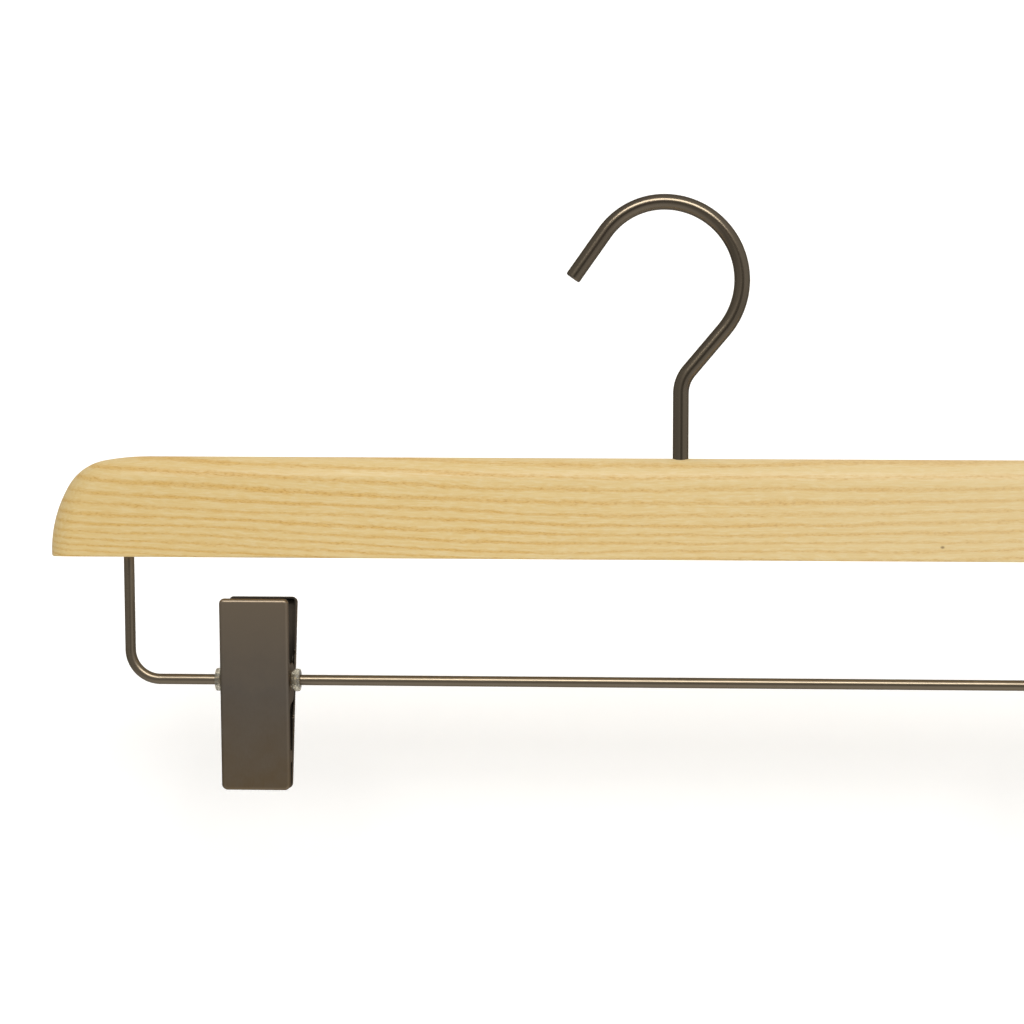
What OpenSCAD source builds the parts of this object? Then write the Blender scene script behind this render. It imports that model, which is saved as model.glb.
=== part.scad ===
// Trouser hanger: a wooden bar on a swivelling wire hook, with a wire rail
// under the bar and two spring clips that slide and swing on the rail.
// Millimetres. +X runs along the bar, -Y is the front, +Z is up. The origin is
// the point inside the crook that rests on a wardrobe rail, straight above the
// swivel axis.

/* [Bar] */
// Length of the wooden bar
bar_w = 360; // [320:5:420]
// Height of the wooden bar
bar_h = 28.8; // [28.5:0.1:34]
// Thickness of the wooden bar, front to back
bar_t = 14; // [13:0.5:16]
// Chamfer along the two bottom edges
bar_ease = 0.6; // [0.3:0.1:1]

/* [Hook] */
// Diameter of the hook wire
wire_d = 4.5; // [4:0.1:5]
// Radius of the crook, to the middle of the wire
crook_r = 22.25; // [20:0.25:26]
// Radius of the crook past its top, towards the tip
crook_tip_r = 20.65; // [18:0.05:20.9]
// Distance of the crook's centre from the swivel axis
crook_off = 5; // [3:0.5:8]
// Height of the crook's centre over the top of the bar
hook_rise = 50.9; // [48:0.1:60]
// Slope of the neck, from upright
neck_a = 40; // [35:1:45]
// Radius of the bend between the neck and the shank
neck_r = 10; // [8:0.5:12]
// Angle of the tip leg, from upright
tip_a = 35; // [30:1:40]
// Length of the straight tip leg
tip_len = 15.9; // [10:0.1:18]

/* [Rail] */
// Diameter of the rail wire
rail_d = 3; // [2.8:0.1:3.4]
// Distance from the bar's underside down to the rail's axis
rail_drop = 35; // [34:0.5:45]
// Half the distance between the rail's legs at the bar's underside
leg_x = 157.9; // [120:0.1:165]
// Lean of each leg towards the middle, going down
leg_lean = 1.4; // [0:0.1:2]
// Radius of the rail's corner bends, to the middle of the wire
rail_r = 8.7; // [7:0.1:10]
// Depth of each leg in the bar
leg_in = 18; // [14:1:20]

/* [Clips] */
// Distance of each clip's middle from the swivel axis
clip_x = 120.4; // [20:0.1:130]
// Width of each jaw
jaw_w = 19.6; // [19.6:0.1:22]
// Thickness of the sheet metal
sheet = 0.6; // [0.5:0.05:0.7]
// Height of a lever's top over the rail's axis, along the plate
jaw_up = 24.4; // [22:0.1:26]
// Depth of a jaw's mouth under the rail's axis, along the plate
jaw_down = 30.7; // [28:0.1:31]
// Distance from the rail's axis to the outer face of a plate
jaw_face = 7.5; // [7.4:0.1:7.8]
// Lean of each plate, so that the levers stand apart and the mouths meet
jaw_lean = 7.6; // [7.2:0.1:7.8]
// Depth of the turned rim of the front jaw
front_rim = 2; // [1.6:0.1:2.4]
// Depth of the turned rim of the rear jaw
rear_rim = 3.2; // [2.6:0.1:3.4]

/* [Hidden] */
$fn = 64;

eps = 0.01;
// heights
crook_ri = crook_r - wire_d / 2;
crook_z = -sqrt(crook_ri * crook_ri - crook_off * crook_off);
bar_top = crook_z - hook_rise;
bar_bot = bar_top - bar_h;
rail_z = bar_bot - rail_drop;

// the end outline of the bar: three arcs, each tangent to the next
ra = 72;
rb = 15;
rc = 36;
a1 = 10.5;
a2 = 60;
rim_r = bar_t / 2;
crest = 0.15;
cc = [-bar_w / 2 + rc, bar_top - ra + (ra - rb) * cos(a1) - (rc - rb) * cos(a2)];
cb = cc + (rc - rb) * [-sin(a2), cos(a2)];
ca = cb - (ra - rb) * [-sin(a1), cos(a1)];

// the swivel, from the bar's underside up
recess_d = 10;
recess_h = 4;
bush_top = 10;
bush_d = 7;
tenon_d = 3.5;
swivel_gap = 0.05;

// the hook's path in the XZ plane
c1 = [-crook_off, crook_z];
c2 = c1 + [0, crook_r - crook_tip_r];
p_tip = c2 + crook_tip_r * [-sin(90 - tip_a), cos(90 - tip_a)];
p_neck = c1 + crook_r * [cos(-neck_a), sin(-neck_a)];
neck_len = (p_neck[0] - neck_r * (1 - cos(neck_a))) / sin(neck_a);
neck_z = p_neck[1] - neck_len * cos(neck_a) - neck_r * sin(neck_a);

// the rail's path
leg_h = rail_drop - rail_r + rail_r * sin(leg_lean);
corner_x = leg_x - rail_r * cos(leg_lean) - leg_h * tan(leg_lean);

// the clip; the rear ears stand inside the front ones
rear_w = jaw_w - 2 * sheet - 0.4;
notch_up = 8.6;
notch_down = 10.2;
notch_rim = 1.6;
bend_r = 1.2;
ear_r = 4.2;
ear_up = 4.85;
ear_down = 6.25;
ear_root = 2.6;
corner_r = 1.5;
barrel_d = 4.6;
bush_bore = rail_d + 0.1;
pad_w = 16;
wood_c = [0.88, 0.78, 0.54];
bronze_c = [0.37, 0.33, 0.27];
hook_c = [0.30, 0.27, 0.24];
steel_c = [0.60, 0.60, 0.58];
clear_c = [0.80, 0.80, 0.76, 0.6];
rubber_c = [0.08, 0.08, 0.08];

// a round bar of diameter d, bent to radius r in the XZ plane from angle b0 to b1
module bend(r, d, b0, b1)
    rotate([90, 0, 0]) rotate([0, 0, b0]) rotate_extrude(angle = b1 - b0) translate([r, 0]) circle(d = d);

// a straight stretch of round bar; it is a hair thicker than a bend and laps
// over the bends at its ends, so that no two surfaces only graze each other
lap = 0.2;
hair = 0.02;
module straight(d, l, low = lap, high = lap)
    translate([0, 0, -low]) cylinder(h = l + low + high, d = d + hair);

// a slice of a disc between two angles
module sector(r, b0, b1)
    intersection() {
        circle(r = r, $fn = 128);
        polygon([[0, 0], 2 * r * [cos(b0), sin(b0)], 2.4 * r * [cos((b0 + b1) / 2), sin((b0 + b1) / 2)], 2 * r * [cos(b1), sin(b1)]]);
    }

// one end of the bar, seen from the front
module bar_end() {
    translate(cc) sector(rc, 90 + a2, 190);
    translate(cb) sector(rb, 90 + a1, 90 + a2);
    translate(ca) sector(ra, 90, 90 + a1);
    translate([-bar_w / 2, bar_top]) polygon([[28.1, -1], [20, -5], [13, -12], [3.5, -24], [3.5, -bar_h], [28.1, -bar_h]]);
}

module leg_axis(side)
    translate([side * leg_x, 0, bar_bot]) rotate([0, side * leg_lean, 0]) children();

module brad_at(side)
    translate([side * (leg_x + 11 * tan(leg_lean) - 1.8), 0, bar_bot + 11]) children();

module wood_bar() color(wood_c)
    difference() {
        intersection() {
            // the outline from the front
            translate([0, bar_t, 0]) rotate([90, 0, 0]) linear_extrude(2 * bar_t) intersection() {
                union() {
                    bar_end();
                    mirror([1, 0]) bar_end();
                    translate([ca[0], bar_bot]) square([-2 * ca[0], bar_h]);
                }
                translate([-bar_w, bar_bot]) square([2 * bar_w, bar_h]);
            }
            // the rounded crown, left with a narrow flat along its crest
            translate([-bar_w, 0, 0]) rotate([90, 0, 90]) linear_extrude(2 * bar_w) {
                translate([-rim_r, bar_bot - 1]) square([bar_t, bar_h - rim_r + crest + 1]);
                translate([0, bar_top - rim_r + crest]) circle(r = rim_r);
            }
            // the rounded ends, seen from above
            translate([0, 0, bar_bot - 1]) linear_extrude(bar_h + 2) {
                translate([-bar_w / 2 + rim_r - crest, -rim_r]) square([bar_w - 2 * rim_r + 2 * crest, bar_t]);
                for (s = [-1, 1]) translate([s * (bar_w / 2 - rim_r + crest), 0]) circle(r = rim_r);
            }
        }
        // the eased bottom edges
        for (s = [-1, 1]) translate([-bar_w, s * bar_t / 2, bar_bot]) rotate([45, 0, 0])
            translate([0, -bar_ease * sqrt(0.5), -bar_ease * sqrt(0.5)]) cube([2 * bar_w, bar_ease * sqrt(2), bar_ease * sqrt(2)]);
        // the hook's hole, the bush's hole and the recess under it
        translate([0, 0, bar_bot + bush_top - eps]) cylinder(h = bar_h, d = wire_d + 0.2);
        translate([0, 0, bar_bot - 1]) cylinder(h = bush_top + 1, d = bush_d);
        translate([0, 0, bar_bot - 1]) cylinder(h = recess_h + 1, d = recess_d);
        // the rail's two holes and the brads' holes across them
        for (s = [-1, 1]) {
            leg_axis(s) translate([0, 0, -1]) cylinder(h = leg_in + 1, d = rail_d + hair);
            brad_at(s) {
                translate([0, -4, 0]) rotate([-90, 0, 0]) cylinder(h = bar_t, d = 1.2);
                translate([0, bar_t / 2 - 0.7, 0]) rotate([-90, 0, 0]) cylinder(h = 2, d = 2.4);
            }
        }
    }

module hook_wire() color(hook_c)
    union() {
        translate([p_tip[0], 0, p_tip[1]]) rotate([0, 180 + tip_a, 0]) straight(wire_d, tip_len, lap, 0);
        translate([c2[0], 0, c2[1]]) bend(crook_tip_r, wire_d, 90.3, 180 - tip_a);
        translate([c1[0], 0, c1[1]]) bend(crook_r, wire_d, -neck_a, 89.7);
        translate([-crook_off, 0, crook_z + crook_r]) rotate([0, 90, 0]) straight(wire_d, 0);
        translate([p_neck[0], 0, p_neck[1]]) rotate([0, 180 + neck_a, 0]) straight(wire_d, neck_len);
        translate([neck_r, 0, neck_z]) bend(neck_r, wire_d, 180 - neck_a, 180);
        // the shank, its turned tenon and the peened head
        translate([0, 0, bar_bot + bush_top + 0.1]) straight(wire_d, neck_z - bar_bot - bush_top - 0.1, 0, lap);
        translate([0, 0, bar_bot + 2.4]) cylinder(h = bush_top - 2.3, d = tenon_d);
        translate([0, 0, bar_bot + 1.2]) cylinder(h = 1.2, d1 = 4.2, d2 = 5.6);
    }

module hook_bush() color(steel_c)
    translate([0, 0, bar_bot]) difference() {
        union() {
            translate([0, 0, recess_h - eps]) cylinder(h = bush_top - recess_h + eps, d = bush_d);
            translate([0, 0, recess_h - 0.8]) cylinder(h = 0.8, d = recess_d - 0.6);
        }
        cylinder(h = bush_top + 1, d = tenon_d + 2 * swivel_gap);
    }

module hook_washer() color(steel_c)
    translate([0, 0, bar_bot + 2.4]) difference() {
        cylinder(h = 0.7, d = 7.6);
        translate([0, 0, -1]) cylinder(h = 3, d = tenon_d);
    }

module clip_rail() color(bronze_c)
    difference() {
        union() {
            translate([-corner_x, 0, rail_z]) rotate([0, 90, 0]) straight(rail_d, 2 * corner_x);
            for (s = [0, 1]) mirror([s, 0, 0]) {
                translate([-corner_x, 0, rail_z + rail_r]) bend(rail_r, rail_d, 180 + leg_lean, 270);
                leg_axis(-1) translate([0, 0, -leg_h / cos(leg_lean)]) straight(rail_d, leg_h / cos(leg_lean) + leg_in, lap, 0);
            }
        }
        // a notch on each leg for the brad that locks it
        for (s = [-1, 1]) brad_at(s) translate([0, -5, 0]) rotate([-90, 0, 0]) cylinder(h = 10, d = 1.2);
    }

module rail_brads() color(steel_c)
    for (s = [-1, 1]) brad_at(s) {
        translate([0, -4, 0]) rotate([-90, 0, 0]) cylinder(h = 4 + bar_t / 2 - 0.7, d = 1.2);
        translate([0, bar_t / 2 - 0.7, 0]) rotate([-90, 0, 0]) cylinder(h = 0.6, d = 2.4);
    }

// ---- one clip, with its pivot on the X axis; a jaw is drawn upright with its
// outer face towards -Y and then leant

// a block with rounded front edges and corners: width w, front face at -f,
// from z0 to z1, edge radius r
module soft_block(w, f, z0, z1, r) {
    d = 16;
    skin = 0.05;
    intersection() {
        translate([0, 0, z0]) linear_extrude(z1 - z0) {
            translate([-w / 2, -f + r]) square([w, d - r]);
            translate([-w / 2 + r, -f]) square([w - 2 * r, d]);
            for (s = [-1, 1]) translate([s * (w / 2 - r), -f + r]) circle(r = r);
        }
        translate([-w, 0, 0]) rotate([90, 0, 90]) linear_extrude(2 * w) {
            translate([-f + r, z0]) square([d - r, z1 - z0]);
            translate([-f, z0 + r]) square([d, z1 - z0 - 2 * r]);
            for (z = [z0 + r, z1 - r]) translate([-f + r, z]) circle(r = r);
        }
        // the corners, seen from the front; a hair wider than the block
        translate([0, d + 1, 0]) rotate([90, 0, 0]) linear_extrude(2 * d + 2) {
            q = r + corner_r - bend_r;
            translate([-w / 2 - skin, z0 - skin + q]) square([w + 2 * skin, z1 - z0 + 2 * skin - 2 * q]);
            translate([-w / 2 - skin + q, z0 - skin]) square([w + 2 * skin - 2 * q, z1 - z0 + 2 * skin]);
            for (s = [-1, 1], z = [z0 - skin + q, z1 + skin - q]) translate([s * (w / 2 + skin - q), z]) circle(r = q);
        }
    }
}

// the turned rim of a jaw, seen from the side
module rim_outline(rim) {
    translate([-jaw_face - 1, -jaw_down - 1]) square([rim + 1, jaw_up + jaw_down + 2]);
}

// the ear round the pivot, seen from the side
module ear_outline(rim) {
    x1 = rim - jaw_face + ear_root;
    difference() {
        polygon([[-jaw_face, ear_up + ear_root], [x1, ear_up + ear_root], [x1, ear_up], [1, ear_up],
                 [1, -ear_down], [x1, -ear_down], [x1, -ear_down - ear_root], [-jaw_face, -ear_down - ear_root]]);
        translate([x1, ear_up + ear_root]) circle(r = ear_root);
        translate([x1, -ear_down - ear_root]) circle(r = ear_root);
    }
    translate([0, 0.1 - ear_down + ear_r - 0.2]) square([ear_r - 0.1, ear_up + ear_down - 2 * ear_r + 0.2]);
    translate([0, ear_up + 0.1 - ear_r]) circle(r = ear_r);
    translate([0, -ear_down - 0.1 + ear_r]) circle(r = ear_r);
}

// the side outline of the front jaw: rim, ear and a small guide tab near the mouth
module front_outline() {
    rim_outline(front_rim);
    ear_outline(front_rim);
    translate([-jaw_face, -23.2]) square([jaw_face - 2.2, 3.4]);
}

// the side outline of the rear jaw: the rim, cut low beside the front ears
module rear_outline()
    difference() {
        rim_outline(rear_rim);
        translate([notch_rim - jaw_face, -notch_down]) square([10, notch_up + notch_down]);
    }

// a shallow pressed tray whose sides are cut back to the outline given as its child
module tray()
    difference() {
        soft_block(jaw_w, jaw_face, -jaw_down, jaw_up, bend_r);
        soft_block(jaw_w - 2 * sheet, jaw_face - sheet, -jaw_down + sheet, jaw_up - sheet, bend_r - sheet);
        translate([-jaw_w, 0, 0]) rotate([90, 0, 90]) linear_extrude(2 * jaw_w) difference() {
            translate([-jaw_face - 1, -jaw_down - 1]) square([25, jaw_up + jaw_down + 2]);
            children();
        }
    }

module pivot_bore() translate([-jaw_w, 0, 0]) rotate([0, 90, 0]) cylinder(h = 2 * jaw_w, d = barrel_d + 0.1);

module front_jaw()
    rotate([jaw_lean, 0, 0]) difference() {
        tray() front_outline();
        pivot_bore();
    }

// the rear jaw's ears are bent in from the plate, so that they nest in the front ones
module rear_jaw()
    rotate([-jaw_lean, 0, 0]) mirror([0, 1, 0]) difference() {
        union() {
            tray() rear_outline();
            for (x = [-rear_w / 2, rear_w / 2 - sheet]) translate([x, 0, 0]) rotate([90, 0, 90])
                linear_extrude(sheet) intersection() {
                    ear_outline(notch_rim);
                    translate([-jaw_face + sheet / 2, -20]) square([20, 40]);
                }
        }
        pivot_bore();
    }

// a ribbed grip block that fills a jaw's mouth up to the closing plane
module jaw_pad()
    difference() {
        intersection() {
            rotate([jaw_lean, 0, 0]) translate([-pad_w / 2, -jaw_face + sheet, -jaw_down + sheet])
                cube([pad_w, 12, 9.6]);
            translate([-20, -20.1, -50]) cube([40, 20, 50]);
        }
        for (k = [0:3]) translate([-20, -0.7, -jaw_down + 1.7 + 2.1 * k]) cube([40, 2, 0.8]);
    }

// the clear bush in one side of the clip, from the inside lip to the flange
module side_bush()
    rotate([0, 90, 0]) difference() {
        union() {
            translate([0, 0, rear_w / 2 - sheet - 1]) cylinder(h = 0.8, d = barrel_d + 0.8);
            translate([0, 0, rear_w / 2 - sheet - 0.5]) cylinder(h = jaw_w / 2 - rear_w / 2 + sheet + 1, d = barrel_d);
            translate([0, 0, jaw_w / 2 + 0.2]) cylinder(h = 1.4, d = barrel_d + 0.6);
            translate([0, 0, jaw_w / 2 + 0.7]) cylinder(h = 1.9, d = 6.5);
        }
        cylinder(h = 30, d = bush_bore);
    }

// the torsion spring: a coil round the rail with an arm up each lever
spring_d = 1.2;
coil_r = 3.3;
arm_y = 8.36;
arm_z = 15;
tan_a = atan2(arm_z, -arm_y) + acos(coil_r / norm([arm_y, arm_z]));
turns = 5;
sweep_a = 540 - 2 * tan_a + 360 * turns;
coil_l = 1.3 * sweep_a / 360;
coil_n = 90;
spring_path = concat(
    [[-coil_l / 2, -arm_y, arm_z]],
    [for (i = [0:coil_n]) let (p = tan_a + sweep_a * i / coil_n)
        [-coil_l / 2 + coil_l * i / coil_n, coil_r * cos(p), coil_r * sin(p)]],
    [[coil_l / 2, arm_y, arm_z]]);

function unit(v) = v / norm(v);
function path_dir(p, i) = unit(p[min(i + 1, len(p) - 1)] - p[max(i - 1, 0)]);

module wire_sweep(p, d) {
    n = 8;
    m = len(p);
    pts = [for (i = [0:m - 1]) let (t = path_dir(p, i), u = unit(cross(t, [1, 0, 0])), v = cross(u, t))
        for (k = [0:n - 1]) p[i] + d / 2 * (cos(360 * k / n) * u + sin(360 * k / n) * v)];
    side = [for (i = [0:m - 2]) for (k = [0:n - 1])
        [i * n + k, i * n + (k + 1) % n, (i + 1) * n + (k + 1) % n, (i + 1) * n + k]];
    polyhedron(points = pts, faces = concat([[for (k = [0:n - 1]) n - 1 - k]], side, [[for (k = [0:n - 1]) (m - 1) * n + k]]), convexity = 10);
}

module at_clip(s) translate([s * clip_x, 0, rail_z]) children();

module left_front_jaw() color(bronze_c) at_clip(-1) front_jaw();
module right_front_jaw() color(bronze_c) at_clip(1) front_jaw();
module left_rear_jaw() color(bronze_c) at_clip(-1) rear_jaw();
module right_rear_jaw() color(bronze_c) at_clip(1) rear_jaw();
module left_spring() color(steel_c) at_clip(-1) wire_sweep(spring_path, spring_d);
module right_spring() color(steel_c) at_clip(1) wire_sweep(spring_path, spring_d);
module left_outer_bush() color(clear_c) at_clip(-1) mirror([1, 0, 0]) side_bush();
module left_inner_bush() color(clear_c) at_clip(-1) side_bush();
module right_outer_bush() color(clear_c) at_clip(1) side_bush();
module right_inner_bush() color(clear_c) at_clip(1) mirror([1, 0, 0]) side_bush();
module left_front_pad() color(rubber_c) at_clip(-1) jaw_pad();
module right_front_pad() color(rubber_c) at_clip(1) jaw_pad();
module left_rear_pad() color(rubber_c) at_clip(-1) mirror([0, 1, 0]) jaw_pad();
module right_rear_pad() color(rubber_c) at_clip(1) mirror([0, 1, 0]) jaw_pad();

wood_bar();
hook_wire();
hook_bush();
hook_washer();
clip_rail();
rail_brads();
left_front_jaw();
left_rear_jaw();
left_spring();
left_outer_bush();
left_inner_bush();
left_front_pad();
left_rear_pad();
right_front_jaw();
right_rear_jaw();
right_spring();
right_outer_bush();
right_inner_bush();
right_front_pad();
right_rear_pad();
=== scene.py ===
import math
import bpy
import bmesh
from mathutils import Matrix, Vector


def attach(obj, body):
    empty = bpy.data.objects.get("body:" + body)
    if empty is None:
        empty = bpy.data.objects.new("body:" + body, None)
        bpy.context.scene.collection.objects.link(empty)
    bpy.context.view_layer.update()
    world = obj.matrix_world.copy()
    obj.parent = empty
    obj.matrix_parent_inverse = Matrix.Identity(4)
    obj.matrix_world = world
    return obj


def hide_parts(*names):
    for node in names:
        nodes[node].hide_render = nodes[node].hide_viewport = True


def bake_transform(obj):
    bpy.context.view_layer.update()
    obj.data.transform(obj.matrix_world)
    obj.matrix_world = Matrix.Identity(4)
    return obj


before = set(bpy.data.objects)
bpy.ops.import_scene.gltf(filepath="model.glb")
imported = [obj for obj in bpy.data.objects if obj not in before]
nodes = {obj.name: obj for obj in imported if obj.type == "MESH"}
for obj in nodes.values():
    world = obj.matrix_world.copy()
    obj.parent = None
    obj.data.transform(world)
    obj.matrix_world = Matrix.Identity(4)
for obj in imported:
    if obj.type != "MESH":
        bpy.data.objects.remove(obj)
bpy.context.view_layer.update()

MM = 0.001

# ---------------------------------------------------------------- dimensions
# millimetres, the same frame as the construction model
WIRE_R = 2.25
CROOK_R, CROOK_TIP_R, CROOK_OFF = 22.25, 20.65, 5.0
CROOK_Z = -math.sqrt((CROOK_R - WIRE_R) ** 2 - CROOK_OFF ** 2)
BAR_TOP = CROOK_Z - 50.9
BAR_BOT = BAR_TOP - 28.8
RAIL_Z = BAR_BOT - 35.0
BAR_W, BAR_R = 360.0, 7.0
NECK_A, NECK_R = 40.0, 10.0
TIP_A, TIP_LEN = 35.0, 15.9
RAIL_R, LEG_X, LEAN, CORNER_R, LEG_IN = 1.5, 157.9, 1.4, 8.7, 18.0
CLIP_X, JAW_W = 120.4, 19.6


def rad(a):
    return math.radians(a)


# ---------------------------------------------------------------- node helper
class Mat:
    """A node material: f.n(type, settings, inputs) adds a node."""

    def __init__(self, name):
        self.m = bpy.data.materials.new(name)
        self.m.use_nodes = True
        self.t = self.m.node_tree
        self.t.nodes.clear()
        self.out = self.t.nodes.new("ShaderNodeOutputMaterial")
        self.bsdf = self.t.nodes.new("ShaderNodeBsdfPrincipled")
        self.t.links.new(self.bsdf.outputs[0], self.out.inputs[0])
        tc = self.t.nodes.new("ShaderNodeTexCoord")
        self.co = self.vec("MULTIPLY", tc.outputs["Object"], (1000, 1000, 1000))
        s = self.t.nodes.new("ShaderNodeSeparateXYZ")
        self.t.links.new(self.co, s.inputs[0])
        self.x, self.y, self.z = s.outputs

    def put(self, sock, v):
        if isinstance(v, bpy.types.NodeSocket):
            self.t.links.new(v, sock)
        elif v is not None:
            sock.default_value = v

    def vec(self, op, a, b=None):
        n = self.t.nodes.new("ShaderNodeVectorMath")
        n.operation = op
        self.put(n.inputs[0], a)
        if b is not None:
            self.put(n.inputs[1], b)
        return n.outputs[0]

    def math(self, op, a, b=None, c=None, clamp=False):
        n = self.t.nodes.new("ShaderNodeMath")
        n.operation = op
        n.use_clamp = clamp
        self.put(n.inputs[0], a)
        self.put(n.inputs[1], b)
        self.put(n.inputs[2], c)
        return n.outputs[0]

    def xyz(self, x, y, z):
        n = self.t.nodes.new("ShaderNodeCombineXYZ")
        for i, v in enumerate((x, y, z)):
            self.put(n.inputs[i], v)
        return n.outputs[0]

    def noise(self, vector, scale=1.0, detail=2.0, rough=0.5, distortion=0.0):
        n = self.t.nodes.new("ShaderNodeTexNoise")
        self.put(n.inputs["Vector"], vector)
        n.inputs["Scale"].default_value = scale
        n.inputs["Detail"].default_value = detail
        n.inputs["Roughness"].default_value = rough
        n.inputs["Distortion"].default_value = distortion
        return n.outputs["Fac"]

    def ramp(self, fac, stops, mode="LINEAR"):
        n = self.t.nodes.new("ShaderNodeValToRGB")
        n.color_ramp.interpolation = mode
        e = n.color_ramp.elements
        while len(e) < len(stops):
            e.new(0.5)
        for i, (p, c) in enumerate(stops):
            e[i].position = p
            e[i].color = (c, c, c, 1) if isinstance(c, (int, float)) else (*c, 1)
        self.put(n.inputs[0], fac)
        return n.outputs[0]

    def span(self, v, a, b, c=0.0, d=1.0, clamp=True):
        n = self.t.nodes.new("ShaderNodeMapRange")
        n.clamp = clamp
        self.put(n.inputs[0], v)
        for i, k in enumerate((a, b, c, d)):
            self.put(n.inputs[i + 1], k)
        return n.outputs[0]

    def mix(self, fac, a, b, mode="MIX"):
        n = self.t.nodes.new("ShaderNodeMix")
        n.data_type = "RGBA"
        n.blend_type = mode
        self.put(n.inputs[0], fac)
        self.put(n.inputs[6], (*a, 1) if isinstance(a, tuple) else a)
        self.put(n.inputs[7], (*b, 1) if isinstance(b, tuple) else b)
        return n.outputs[2]

    def bump(self, height, strength, distance, normal=None):
        n = self.t.nodes.new("ShaderNodeBump")
        n.inputs["Strength"].default_value = strength
        n.inputs["Distance"].default_value = distance * MM
        self.put(n.inputs["Height"], height)
        if normal is not None:
            self.put(n.inputs["Normal"], normal)
        return n.outputs[0]

    def set(self, **kw):
        for k, v in kw.items():
            name = k.replace("_", " ")
            name = {"Emission Colour": "Emission Color"}.get(name, name)
            self.put(self.bsdf.inputs[name], v)
        return self.m


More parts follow.
